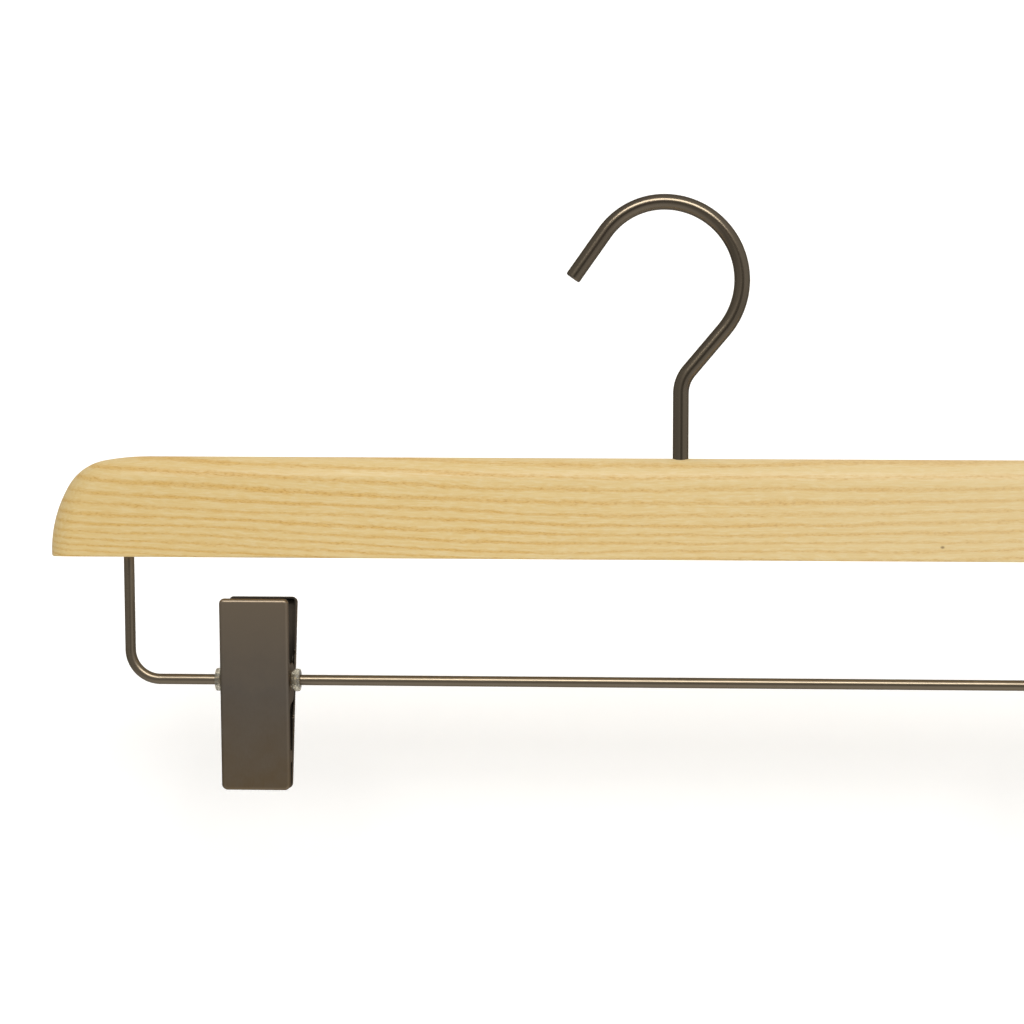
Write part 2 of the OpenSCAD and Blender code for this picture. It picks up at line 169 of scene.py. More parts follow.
# ---------------------------------------------------------------- materials
def ash_material():
    f = Mat("ash_wood")
    depth = f.math("SUBTRACT", BAR_TOP, f.z)
    # the growth lines run along the bar in a long shallow bow, and they tilt
    # through the bar's thickness
    dx = f.math("SUBTRACT", f.x, 5.0)
    bow = f.math("MULTIPLY", f.math("MULTIPLY", dx, dx), 0.00019)
    tilt = f.math("MULTIPLY", f.math("ADD", f.y, BAR_R), 0.10)
    wander = f.noise(f.xyz(f.math("MULTIPLY", f.x, 0.011), f.math("MULTIPLY", f.y, 0.05), f.math("MULTIPLY", f.z, 0.07)), 1.0, 2.0)
    wander = f.math("MULTIPLY", f.math("SUBTRACT", wander, 0.5), 4.2)
    shiver = f.noise(f.xyz(f.math("MULTIPLY", f.x, 0.06), f.y, f.math("MULTIPLY", f.z, 0.5)), 1.0, 3.0)
    shiver = f.math("MULTIPLY", f.math("SUBTRACT", shiver, 0.5), 0.8)
    d = f.math("ADD", f.math("ADD", depth, bow), f.math("ADD", tilt, f.math("ADD", wander, shiver)))
    k4 = f.math("POWER", f.math("MAXIMUM", f.math("DIVIDE", d, 28.0), 0.0), 4.0)
    phase = f.math("ADD", f.math("DIVIDE", d, 3.55), f.math("MULTIPLY", k4, 1.25))
    ring = f.math("FRACT", f.math("ADD", phase, 20.0))
    # fibres and pores, drawn out along the bar
    fibre = f.noise(f.xyz(f.math("MULTIPLY", f.x, 0.05), f.math("MULTIPLY", f.y, 2.6), f.math("MULTIPLY", d, 2.8)), 1.0, 4.0, 0.6)
    fine = f.noise(f.xyz(f.math("MULTIPLY", f.x, 0.22), f.math("MULTIPLY", f.y, 6.0), f.math("MULTIPLY", d, 6.5)), 1.0, 3.0, 0.6)
    dash = f.noise(f.xyz(f.math("MULTIPLY", f.x, 0.33), f.math("MULTIPLY", f.y, 1.8), f.math("MULTIPLY", d, 2.1)), 1.0, 3.0, 0.62)
    prick = f.noise(f.xyz(f.math("MULTIPLY", f.x, 0.8), f.math("MULTIPLY", f.y, 4.0), f.math("MULTIPLY", d, 4.6)), 1.0, 2.0, 0.5)
    # each ring: a ragged porous line, made of short dashes, on pale wood
    core = f.ramp(ring, [(0.0, 0.0), (0.26, 0.04), (0.46, 0.62), (0.57, 1.0), (0.68, 0.90), (0.82, 0.30), (1.0, 0.0)], "B_SPLINE")
    mark = f.noise(f.xyz(f.math("MULTIPLY", f.x, 0.012), f.math("MULTIPLY", f.y, 0.1), f.math("MULTIPLY", phase, 0.9)), 1.0, 2.0, 0.6)
    core = f.math("MULTIPLY", core, f.span(mark, 0.3, 0.7, 0.65, 1.15))
    rag = f.math("ADD", core, f.math("MULTIPLY", f.math("SUBTRACT", dash, 0.5), 1.7))
    late = f.span(rag, 0.20, 1.10)
    pore = f.math("MULTIPLY", f.span(prick, 0.50, 0.62), f.span(rag, 0.35, 0.9))
    pale = f.math("MULTIPLY", f.span(dash, 0.52, 0.34), f.math("SUBTRACT", 1.0, core, None, True))
    col = f.mix(f.span(fibre, 0.3, 0.7), (0.722, 0.554, 0.268), (0.672, 0.484, 0.202))
    col = f.mix(f.math("MULTIPLY", pale, 0.45), col, (0.745, 0.628, 0.375))
    col = f.mix(f.math("MULTIPLY", late, 0.80), col, (0.630, 0.378, 0.090))
    col = f.mix(f.math("MULTIPLY", pore, 0.62), col, (0.46, 0.235, 0.050))
    col = f.mix(f.span(fine, 0.35, 0.75, 0.0, 0.27), col, (0.56, 0.375, 0.125))
    # a little paler past the middle, warmer and darker towards the ends, and a
    # small pin knot
    col = f.mix(f.span(f.x, -60.0, 90.0, 0.0, 0.22), col, (0.790, 0.665, 0.430))
    ends = f.span(f.math("ABSOLUTE", f.x), 95.0, 182.0, 0.0, 0.22)
    col = f.mix(ends, col, (0.575, 0.395, 0.130))
    kx = f.math("SUBTRACT", f.x, 73.7)
    kz = f.math("MULTIPLY", f.math("SUBTRACT", f.z, -95.0), 1.5)
    r = f.math("SQRT", f.math("ADD", f.math("MULTIPLY", kx, kx), f.math("MULTIPLY", kz, kz)))
    col = f.mix(f.span(r, 0.25, 0.75, 0.7, 0.0), col, (0.13, 0.07, 0.03))
    f.put(f.bsdf.inputs["Base Color"], col)
    rough = f.math("ADD", f.span(fine, 0.3, 0.7, 0.40, 0.50), f.math("MULTIPLY", pore, 0.15))
    height = f.math("SUBTRACT", f.math("MULTIPLY", fine, 0.30), f.math("MULTIPLY", pore, 0.9))
    nrm = f.bump(height, 0.35, 0.05)
    return f.set(Roughness=rough, Normal=nrm, Coat_Weight=0.04, Coat_Roughness=0.35, IOR=1.42)


def metal(name, base, worn, rough, along, grain=1.0, bump=0.12, wear=0.35, blotch=0.2, coat=0.0, coat_rough=0.1, edge=(1, 1, 1), painted_light_ramp=None):
    """Satin metal: base colour, a worn tint, fine drawing or rolling marks along an axis."""
    f = Mat(name)
    k = {"x": (0.25, 9.0, 9.0), "z": (9.0, 9.0, 0.25), "any": (3.0, 3.0, 3.0)}[along]
    v = f.xyz(f.math("MULTIPLY", f.x, k[0] * grain), f.math("MULTIPLY", f.y, k[1] * grain), f.math("MULTIPLY", f.z, k[2] * grain))
    lines = f.noise(v, 1.0, 4.0, 0.65)
    cloud = f.noise(f.co, 0.16, 4.0, 0.6)
    speck = f.noise(f.co, 7.0, 3.0, 0.7)
    tone = f.math("ADD", f.span(cloud, 0.3, 0.7, 0.0, blotch), f.span(lines, 0.3, 0.7, 0.0, wear))
    if painted_light_ramp:
        # painted light: the sheet is painted lighter towards its top and darker towards its bottom, with a cloudy
        # wander, standing in for the light falling from above
        low, high, top, bottom = painted_light_ramp
        painted_light_height = f.math("ADD", f.z, f.math("MULTIPLY", f.math("SUBTRACT", cloud, 0.5), 14.0))
        base = f.mix(f.span(painted_light_height, (low + high) / 2, high), base, top)
        base = f.mix(f.span(painted_light_height, (low + high) / 2, low), base, bottom)
    col = f.mix(f.math("MINIMUM", tone, 1.0), base, worn)
    r = f.math("ADD", f.span(lines, 0.3, 0.7, rough - 0.03, rough + 0.03), f.span(speck, 0.35, 0.65, -0.015, 0.015))
    nrm = f.bump(f.math("ADD", lines, f.math("MULTIPLY", speck, 0.8)), bump, 0.02)
    return f.set(Base_Color=col, Metallic=1.0, Roughness=r, Normal=nrm, Coat_Weight=coat, Coat_Roughness=coat_rough, Specular_Tint=(*edge, 1))


def clear_material():
    f = Mat("clear_plastic")
    flow = f.noise(f.co, 1.1, 3.0, 0.6)
    fine = f.noise(f.co, 6.0, 3.0, 0.6)
    col = f.mix(f.span(flow, 0.3, 0.7), (0.70, 0.655, 0.54), (0.60, 0.56, 0.45))
    r = f.span(fine, 0.3, 0.7, 0.24, 0.34)
    return f.set(Base_Color=col, Roughness=r, Transmission_Weight=0.78, IOR=1.34)


def rubber_material():
    f = Mat("black_rubber")
    dust = f.noise(f.co, 1.6, 5.0, 0.7)
    fine = f.noise(f.co, 9.0, 3.0, 0.6)
    col = f.mix(f.span(dust, 0.35, 0.75), (0.016, 0.016, 0.016), (0.045, 0.044, 0.042))
    r = f.span(fine, 0.3, 0.7, 0.62, 0.82)
    return f.set(Base_Color=col, Roughness=r, Normal=f.bump(fine, 0.3, 0.04), IOR=1.5)


M_WOOD = ash_material()
EDGE = (0.45, 0.38, 0.30)
M_HOOK = metal("dark_bronze_wire", (0.148, 0.117, 0.080), (0.176, 0.142, 0.098), 0.24, "any", 1.0, 0.0, 0.25, 0.25, 0.34, 0.14, EDGE)
M_RAIL = metal("bronze_wire", (0.205, 0.164, 0.112), (0.243, 0.198, 0.139), 0.30, "x", 1.0, 0.01, 0.25, 0.25, 0.22, 0.18, EDGE)
# the jaws' sheet carries a painted light ramp: a lighter top colour and a darker bottom colour down the plates
M_JAW = metal("bronze_sheet", (0.188, 0.158, 0.127), (0.232, 0.190, 0.144), 0.40, "z", 0.55, 0.03, 0.30, 0.30, 0.15, 0.30, EDGE,
              (RAIL_Z - 30.7, RAIL_Z + 24.4, (0.288, 0.222, 0.150), (0.202, 0.142, 0.078)))
# a darker copy of the sheet: painted shade for the inside of each tray, where the plates shade each other
M_JAW_PAINTED_SHADE = metal("bronze_sheet_inside_painted_shade", (0.050, 0.042, 0.033), (0.075, 0.062, 0.048), 0.50, "z", 0.55, 0.03, 0.30, 0.30, 0.0, 0.30, (0.2, 0.17, 0.13))
M_STEEL = metal("plain_steel", (0.42, 0.41, 0.39), (0.62, 0.61, 0.58), 0.30, "any", 1.4, 0.12, 0.4, 0.2)
M_SPRING = metal("spring_steel", (0.30, 0.29, 0.28), (0.52, 0.51, 0.49), 0.26, "any", 1.6, 0.10, 0.4, 0.2)
M_CLEAR = clear_material()
M_RUBBER = rubber_material()


# ---------------------------------------------------------------- mesh tools
def add_mesh(name, verts, faces, material, smooth=True):
    me = bpy.data.meshes.new(name)
    me.from_pydata([tuple(c * MM for c in v) for v in verts], [], faces)
    bm = bmesh.new()
    bm.from_mesh(me)
    bmesh.ops.recalc_face_normals(bm, faces=bm.faces)
    bm.to_mesh(me)
    bm.free()
    for p in me.polygons:
        p.use_smooth = smooth
    me.update()
    o = bpy.data.objects.new(name, me)
    bpy.context.scene.collection.objects.link(o)
    me.materials.append(material)
    return o


def sweep(name, path, material, sides=32, up=Vector((0, 1, 0))):
    """A round bar along path, a list of (point, radius); the ends are closed flat."""
    pts = [Vector(p) for p, r in path]
    rads = [r for p, r in path]
    verts, faces = [], []
    last = None
    for i, p in enumerate(pts):
        a, b = pts[max(i - 1, 0)], pts[min(i + 1, len(pts) - 1)]
        t = (b - a)
        t = t.normalized() if t.length > 1e-9 else last
        last = t
        u = up - t * up.dot(t)
        u.normalize()
        w = t.cross(u)
        for k in range(sides):
            g = 2 * math.pi * k / sides
            verts.append(p + rads[i] * (math.cos(g) * u + math.sin(g) * w))
    n = len(pts)
    for i in range(n - 1):
        for k in range(sides):
            k2 = (k + 1) % sides
            faces.append((i * sides + k, i * sides + k2, (i + 1) * sides + k2, (i + 1) * sides + k))
    faces.append(tuple(range(sides - 1, -1, -1)))
    faces.append(tuple((n - 1) * sides + k for k in range(sides)))
    return add_mesh(name, verts, faces, material)


def arc(c, r, a0, a1, n):
    """Points of an arc in the XZ plane."""
    return [(c[0] + r * math.cos(rad(a0 + (a1 - a0) * i / n)), 0.0, c[1] + r * math.sin(rad(a0 + (a1 - a0) * i / n))) for i in range(n + 1)]


def soften(o, angle=35.0, width=0.15, segments=2):
    b = o.modifiers.new("edges", "BEVEL")
    b.width = width * MM
    b.segments = segments
    b.limit_method = "ANGLE"
    b.angle_limit = rad(angle)
    b.harden_normals = False
    b.use_clamp_overlap = True
    w = o.modifiers.new("normals", "WEIGHTED_NORMAL")
    w.keep_sharp = True
    return o


def apply_modifiers(o):
    dg = bpy.context.evaluated_depsgraph_get()
    me = bpy.data.meshes.new_from_object(o.evaluated_get(dg))
    o.modifiers.clear()
    o.data = me


def cylinder(name, p, axis, r, h):
    """A cutter from point p along axis, used and then removed."""
    axis = Vector(axis).normalized()
    side = Vector((0, 0, 1)) if abs(axis.z) < 0.9 else Vector((1, 0, 0))
    p = Vector(p)
    return sweep(name, [(p, r), (p + axis * h, r)], M_WOOD, 48, side)


# ---------------------------------------------------------------- wooden bar
def wooden_bar():
    ra, rb, rc, a1, a2 = 72.0, 15.0, 36.0, 10.5, 60.0
    cc = Vector((-BAR_W / 2 + rc, BAR_TOP - ra + (ra - rb) * math.cos(rad(a1)) - (rc - rb) * math.cos(rad(a2))))
    cb = cc + (rc - rb) * Vector((-math.sin(rad(a2)), math.cos(rad(a2))))
    ca = cb - (ra - rb) * Vector((-math.sin(rad(a1)), math.cos(rad(a1))))
    # outline of the left end from the underside up to the straight top: points
    # with their outward normals, by which the outline is drawn in
    left = []
    foot = -math.degrees(math.asin((cc.y - BAR_BOT) / rc))
    n = 40
    for i in range(n + 1):
        b = 180 - foot + (90 + a2 - 180 + foot) * i / n
        left.append((cc, rc, b))
    for i in range(1, 25):
        left.append((cb, rb, 90 + a2 + (a1 - a2) * i / 24))
    for i in range(1, 9):
        left.append((ca, ra, 90 + a1 - a1 * i / 8))
    rim = 18
    rows = []
    for c, r, b in left:
        d = Vector((math.cos(rad(b)), math.sin(rad(b))))
        row = []
        for j in range(rim + 1):
            g = math.pi * j / rim
            inset = BAR_R - BAR_R * math.sin(g)
            q = c + (r - inset) * d
            row.append((q.x, -BAR_R * math.cos(g), q.y))
        rows.append(row)
    mirrored = [[(-x, y, z) for x, y, z in row] for row in reversed(rows)]
    steps = 60
    mid = []
    for i in range(1, steps):
        f = i / steps
        x0 = rows[-1][0][0]
        mid.append([(x0 + (-2 * x0) * f, y, z) for _, y, z in rows[-1]])
    rows = rows + mid + mirrored
    # the underside is level, so the first and last rows are brought down to it
    rows[0] = [(x, y, BAR_BOT) for x, y, z in rows[0]]
    rows[-1] = [(x, y, BAR_BOT) for x, y, z in rows[-1]]
    verts, faces = [], []
    w = rim + 1
    for row in rows:
        verts += row
    for i in range(len(rows) - 1):
        for j in range(rim):
            faces.append((i * w + j, i * w + j + 1, (i + 1) * w + j + 1, (i + 1) * w + j))
    n = len(rows)
    faces.append(tuple(i * w for i in range(n)))
    faces.append(tuple(i * w + rim for i in reversed(range(n))))
    faces.append(tuple(range(w)) + tuple((n - 1) * w + j for j in reversed(range(w))))
    o = add_mesh("wood_bar_shaped", verts, faces, M_WOOD)
    # eased edges round the underside
    b = o.modifiers.new("ease", "BEVEL")
    b.width, b.segments = 0.7 * MM, 4
    b.limit_method, b.angle_limit = "ANGLE", rad(50)
    apply_modifiers(o)
    # the holes: hook and bush, the rail's legs, and the brads' heads
    cuts = [
        cylinder("c", (0, 0, BAR_BOT + 9), (0, 0, 1), WIRE_R + 0.12, 30),
        cylinder("c", (0, 0, BAR_BOT - 1), (0, 0, 1), 3.5, 11),
        cylinder("c", (0, 0, BAR_BOT - 1), (0, 0, 1), 5.0, 5),
    ]
    for s in (-1, 1):
        ax = Vector((s * math.sin(rad(LEAN)), 0, math.cos(rad(LEAN))))
        p = Vector((s * LEG_X, 0, BAR_BOT))
        cuts.append(cylinder("c", p - ax, ax, RAIL_R + 0.06, LEG_IN + 1.05))
        bx = s * (LEG_X + 11 * math.tan(rad(LEAN)) - 1.8)
        cuts.append(cylinder("c", (bx, BAR_R - 0.7, BAR_BOT + 11), (0, 1, 0), 1.22, 2))
    for c in cuts:
        m = o.modifiers.new("hole", "BOOLEAN")
        m.operation, m.solver, m.object = "DIFFERENCE", "EXACT", c
    apply_modifiers(o)
    for c in cuts:
        bpy.data.objects.remove(c)
    # points that the holes' cuts left on top of each other are joined
    b = bmesh.new()
    b.from_mesh(o.data)
    bmesh.ops.remove_doubles(b, verts=b.verts, dist=0.004 * MM)
    bmesh.ops.dissolve_degenerate(b, edges=b.edges, dist=0.004 * MM)
    bmesh.ops.holes_fill(b, edges=[e for e in b.edges if e.is_boundary], sides=8)
    walls = [f for f in b.faces if len(f.verts) > 3 and abs(f.calc_center_median().x) < 6 * MM
             and math.hypot(f.calc_center_median().x, f.calc_center_median().y) < 2.6 * MM]
    bmesh.ops.triangulate(b, faces=walls)
    bmesh.ops.recalc_face_normals(b, faces=b.faces)
    b.edges.index_update()
    sharp = {e.index for e in b.edges if e.is_manifold and e.calc_face_angle(0.0) > rad(50)}
    b.to_mesh(o.data)
    b.free()
    o.data.materials.clear()
    o.data.materials.append(M_WOOD)
    for p in o.data.polygons:
        p.use_smooth = True
        p.material_index = 0
    for e in o.data.edges:
        e.use_edge_sharp = e.index in sharp
    wn = o.modifiers.new("normals", "WEIGHTED_NORMAL")
    wn.keep_sharp = True
    wn.weight = 80
    return o


bar = wooden_bar()
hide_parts("wood_bar")
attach(bar, "bar")


# ---------------------------------------------------------------- hook
def hook():
    c1 = (-CROOK_OFF, CROOK_Z)
    c2 = (-CROOK_OFF, CROOK_Z + CROOK_R - CROOK_TIP_R)
    tip = arc(c2, CROOK_TIP_R, 180 - TIP_A, 90, 44)
    d = Vector((-math.sin(rad(TIP_A)), 0, -math.cos(rad(TIP_A))))
    p = Vector(tip[0])
    r = WIRE_R
    path = [(p + d * TIP_LEN, r - 0.35), (p + d * (TIP_LEN - 0.06), r - 0.2), (p + d * (TIP_LEN - 0.2), r - 0.06), (p + d * (TIP_LEN - 0.4), r)]
    path += [(p + d * (TIP_LEN * f), r) for f in (0.8, 0.6, 0.4, 0.2, 0.05)]
    path += [(q, r) for q in tip]
    path += [(q, r) for q in arc(c1, CROOK_R, 90, -NECK_A, 110)[1:]]
    q = Vector(path[-1][0])
    d = Vector((-math.sin(rad(NECK_A)), 0, -math.cos(rad(NECK_A))))
    length = (q.x - NECK_R * (1 - math.cos(rad(NECK_A)))) / math.sin(rad(NECK_A))
    path += [(q + d * length * f, r) for f in (0.05, 0.25, 0.5, 0.75, 0.95)]
    nz = q.z - length * math.cos(rad(NECK_A)) - NECK_R * math.sin(rad(NECK_A))
    path += [(a, r) for a in arc((NECK_R, nz), NECK_R, 180 - NECK_A, 180, 30)]
    z1 = BAR_BOT + 10.1
    for z, rr in ((nz - 0.4, r), ((nz + z1) / 2, r), (z1 + 0.3, r), (z1 + 0.05, r - 0.1), (z1, r - 0.3), (z1 - 0.02, 1.75),
                  (z1 - 0.3, 1.75), (BAR_BOT + 2.7, 1.75), (BAR_BOT + 2.42, 1.75), (BAR_BOT + 2.4, 1.9), (BAR_BOT + 2.4, 2.7), (BAR_BOT + 2.25, 2.8),
                  (BAR_BOT + 2.0, 2.75), (BAR_BOT + 1.7, 2.55), (BAR_BOT + 1.4, 2.15), (BAR_BOT + 1.25, 1.6), (BAR_BOT + 1.2, 0.9)):
        path.append((Vector((0, 0, z)), rr))
    return sweep("hook_wire_bent", path, M_HOOK, 40)


hk = hook()
soften(hk, 40, 0.05, 1)
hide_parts("hook_wire")
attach(hk, "hook")


# ---------------------------------------------------------------- clip rail
def rail():
    leg_h = 35.0 - CORNER_R + CORNER_R * math.sin(rad(LEAN))
    cx = LEG_X - CORNER_R * math.cos(rad(LEAN)) - leg_h * math.tan(rad(LEAN))
    t = Vector((-math.sin(rad(LEAN)), 0, math.cos(rad(LEAN))))
    top = Vector((-LEG_X, 0, BAR_BOT)) + t * LEG_IN
    bend = arc((-cx, RAIL_Z + CORNER_R), CORNER_R, 180 + LEAN, 270, 24)
    p = Vector(bend[0])
    L = (top - p).length
    half = [(top, RAIL_R - 0.3), (top - t * 0.25, RAIL_R)]
    half += [(top - t * L * f, RAIL_R) for f in (0.15, 0.3, 0.45, 0.6, 0.75, 0.9, 0.98)]
    half += [(Vector(q), RAIL_R) for q in bend]
    half += [(Vector((-cx + cx * f, 0, RAIL_Z)), RAIL_R) for f in (0.01, 0.2, 0.4, 0.6, 0.8)]
    other = [(Vector((-q.x, q.y, q.z)), r) for q, r in reversed(half)]
    return sweep("clip_rail_bent", half + other, M_RAIL, 32)


rl = rail()
soften(rl, 40, 0.05, 1)
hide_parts("clip_rail")
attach(rl, "bar")


# ---------------------------------------------------------------- clip pieces
def bush(name, cx, side):
    """A clear bush, turned about the rail: lip, barrel, ribbed collar and flange."""
    seg = 96
    prof = [(7.4, 1.6, 0), (7.4, 2.5, 0), (7.5, 2.65, 0), (8.05, 2.7, 0), (8.2, 2.55, 0), (8.22, 2.3, 0), (9.2, 2.3, 0), (9.93, 2.3, 0), (9.98, 2.42, 1),
            (10.04, 2.58, 1), (10.3, 2.6, 1), (10.46, 2.6, 1), (10.5, 2.62, 0), (10.52, 2.95, 0), (10.58, 3.1, 0), (10.72, 3.21, 0), (10.9, 3.25, 0), (11.6, 3.25, 0),
            (11.85, 3.2, 0), (12.02, 3.08, 0), (12.1, 2.9, 0), (12.12, 2.3, 0), (12.05, 2.15, 0), (12.05, 1.75, 0), (11.9, 1.57, 0), (11.0, 1.56, 0), (9.0, 1.56, 0), (7.6, 1.56, 0)]
    verts, faces = [], []
    for x, r, ribbed in prof:
        for k in range(seg):
            g = 2 * math.pi * k / seg
            rr = r
            if ribbed:
                rr = 2.3 + (r - 2.3) * (0.72 + 0.28 * math.tanh(3.0 * math.cos(12 * g)))
            verts.append((cx + side * x, rr * math.cos(g), RAIL_Z + rr * math.sin(g)))
    n = len(prof)
    for i in range(n):
        i2 = (i + 1) % n
        for k in range(seg):
            k2 = (k + 1) % seg
            faces.append((i * seg + k, i * seg + k2, i2 * seg + k2, i2 * seg + k))
    return add_mesh(name, verts, faces, M_CLEAR)


def torsion_spring(name, cx):
    """The coil round the rail, with an arm up the inside of each lever."""
    cr, ay, az, turns, d = 3.3, 8.36, 15.0, 5, 0.6
    ta = math.degrees(math.atan2(az, -ay) + math.acos(cr / math.hypot(ay, az)))
    sw = 540 - 2 * ta + 360 * turns
    cl = 1.3 * sw / 360
    pts = []
    n = 260
    a0 = Vector((-cl / 2, cr * math.cos(rad(ta)), cr * math.sin(rad(ta))))
    end = Vector((-cl / 2, -ay, az))
    for i in range(13):
        pts.append(end.lerp(a0, i / 13))
    for i in range(n + 1):
        p = ta + sw * i / n
        pts.append(Vector((-cl / 2 + cl * i / n, cr * math.cos(rad(p)), cr * math.sin(rad(p)))))
    b0 = pts[-1]
    end = Vector((cl / 2, ay, az))
    for i in range(1, 14):
        pts.append(b0.lerp(end, i / 13))
    path = [(p + Vector((cx, 0, RAIL_Z)), d) for p in pts]
    path[0] = (path[0][0], d - 0.12)
    path[-1] = (path[-1][0], d - 0.12)
    return sweep(name, path, M_SPRING, 16, Vector((1, 0, 0)))


def rounded_loop(w, z0, z1, r_low, r_top, inset, y, n=8):
    """A rounded rectangle in the XZ plane at depth y, drawn in by inset."""
    out = []
    for sx, zc, r, a0 in ((1, z0, r_low, -90), (1, z1, r_top, 0), (-1, z1, r_top, 90), (-1, z0, r_low, 180)):
        up = 1 if zc == z0 else -1
        c = (sx * (w / 2 - r), zc + up * r)
        q = max(r - inset, 0.04)
        back = max(inset - r, 0.0) + 0.04 * (inset > r)
        c = (c[0] - sx * back, c[1] + up * back)
        for i in range(n + 1):
            g = rad(a0 + 90 * i / n)
            out.append((c[0] + q * math.cos(g), y, c[1] + q * math.sin(g)))
    return out


def turn(pts, c, r, a0, a1, n):
    for i in range(n + 1):
        g = rad(a0 + (a1 - a0) * i / n)
        pts.append((c[0] + r * math.cos(g), c[1] + r * math.sin(g)))


def ear_line(y0, back):
    """The ear round the pivot in (depth, height), from the root at y0 up."""
    lo, hi = -6.35, 4.95
    pts = []
    for i in range(11):
        g = rad(90 * i / 10)
        pts.append((y0 + 2.6 * (1 - math.cos(g)), lo - 2.6 + 2.6 * math.sin(g)))
    for i in range(1, 32):
        g = rad(-90 + 180 * i / 32)
        pts.append((back * math.cos(g), (lo + hi) / 2 + (hi - lo) / 2 * math.sin(g)))
    for i in range(11):
        g = rad(90 - 90 * i / 10)
        pts.append((y0 + 2.6 * (1 - math.cos(g)), hi + 2.6 - 2.6 * math.sin(g)))
    return pts


def front_side():
    """Side outline of the front jaw: rim, guide tab, ear, rim."""
    yr, tab = FACE + 2.0, -2.2
    pts = [(FACE - 4, -36), (yr, -36)]
    for i in range(5):
        g = rad(90 * i / 4)
        pts.append((yr + 1.0 * (1 - math.cos(g)), -24.2 + 1.0 * math.sin(g)))
    turn(pts, (tab - 0.7, -22.5), 0.7, -90, 0, 4)
    turn(pts, (tab - 0.7, -20.5), 0.7, 0, 90, 4)
    for i in range(5):
        g = rad(90 - 90 * i / 4)
        pts.append((yr + 1.0 * (1 - math.cos(g)), -18.8 - 1.0 * math.sin(g)))
    pts += ear_line(yr, 4.25)
    pts += [(yr, 30), (FACE - 4, 30)]
    return pts


def rear_side():
    """Side outline of the rear jaw: the rim, cut low beside the front ears."""
    yr, yn = FACE + 3.2, FACE + 1.6
    pts = [(FACE - 4, -36), (yr, -36)]
    turn(pts, (yr - 0.5, -10.7), 0.5, 0, 90, 4)
    turn(pts, (yn + 0.5, -9.7), 0.5, 270, 180, 4)
    turn(pts, (yn + 0.5, 8.1), 0.5, 180, 90, 4)
    turn(pts, (yr - 0.5, 9.1), 0.5, -90, 0, 4)
    pts += [(yr, 30), (FACE - 4, 30)]
    return pts


def prism(line, x0, x1, material):
    m = len(line)
    pv = [(x0, y, z) for y, z in line] + [(x1, y, z) for y, z in line]
    pf = [tuple(range(m)), tuple(m + k for k in reversed(range(m)))]
    pf += [(k, (k + 1) % m, m + (k + 1) % m, m + k) for k in range(m)]
    return add_mesh("c", pv, pf, material)


def cut(o, others):
    for c, op in others:
        b = o.modifiers.new("shape", "BOOLEAN")
        b.operation, b.solver, b.object = op, "EXACT", c
    apply_modifiers(o)
    for c, op in others:
        bpy.data.objects.remove(c)


FACE, LEAN, SHEET = -7.5, 7.6, 0.6


def jaw(name, cx, rear):
    """One lever and jaw, pressed from sheet: a shallow tray with an ear on
    each side and a bore for the bush. The front one has a guide tab; the rear
    one's ears stand inside the front ones."""
    face, sheet, edge, w = FACE, SHEET, 0.95, JAW_W
    z0, z1, rl, rt = -30.7, 24.4, 1.65, 1.3
    loops = []
    for i in range(8):
        g = rad(90 * i / 7)
        loops.append(rounded_loop(w, z0, z1, rl, rt, edge * (1 - math.sin(g)), face + edge * (1 - math.cos(g))))
    loops.append(rounded_loop(w, z0, z1, rl, rt, 0, 7.0))
    loops.append(rounded_loop(w, z0, z1, rl, rt, sheet, 7.0))
    for i in range(7, -1, -1):
        g = rad(90 * i / 7)
        r = edge - sheet
        loops.append(rounded_loop(w, z0, z1, rl, rt, sheet + r * (1 - math.sin(g)), face + sheet + r * (1 - math.cos(g))))
    verts, faces = [], []
    n = len(loops[0])
    for lp in loops:
        verts += lp
    for i in range(len(loops) - 1):
        for k in range(n):
            k2 = (k + 1) % n
            faces.append((i * n + k, i * n + k2, (i + 1) * n + k2, (i + 1) * n + k))
    faces.append(tuple(range(n)))
    faces.append(tuple((len(loops) - 1) * n + k for k in reversed(range(n))))
    o = add_mesh(name, verts, faces, M_JAW)
    side_cut = prism(rear_side() if rear else front_side(), -20, 20, M_JAW)
    cut(o, ((side_cut, "INTERSECT"), (cylinder("c", (-20, 0, 0), (1, 0, 0), 2.36, 40), "DIFFERENCE")))
    if rear:
        line = [(face + 0.3, -8.95)] + ear_line(face + 1.0, 4.25) + [(face + 0.3, 7.55)]
        for x0 in (-9.0, 8.4):
            ear = prism(line, x0, x0 + 0.6, M_JAW)
            cut(ear, ((cylinder("c", (-20, 0, 0), (1, 0, 0), 2.36, 40), "DIFFERENCE"),))
            bm = bmesh.new()
            bm.from_mesh(o.data)
            bm.from_mesh(ear.data)
            bm.to_mesh(o.data)
            bm.free()
            bpy.data.objects.remove(ear)
    o.data.materials.clear()
    o.data.materials.append(M_JAW)
    # the second slot is the darker painted-shade copy, given to the faces inside the tray
    o.data.materials.append(M_JAW_PAINTED_SHADE)
    for p in o.data.polygons:
        c = p.center / MM
        inner = abs(c.x) < w / 2 - sheet + 0.02 and c.y > face + sheet - 0.02 and z0 + sheet - 0.02 < c.z < z1 - sheet + 0.02
        p.material_index = 1 if inner else 0
        p.use_smooth = True
    t = Matrix.Translation(Vector((cx, 0, RAIL_Z)) * MM)
    lean = Matrix.Rotation(rad(LEAN), 4, "X")
    if rear:
        t = t @ Matrix.Scale(-1, 4, Vector((0, 1, 0))) @ lean
    else:
        t = t @ lean
    o.data.transform(t)
    if rear:
        o.data.flip_normals()
    soften(o, 35, 0.10, 2)
    return o


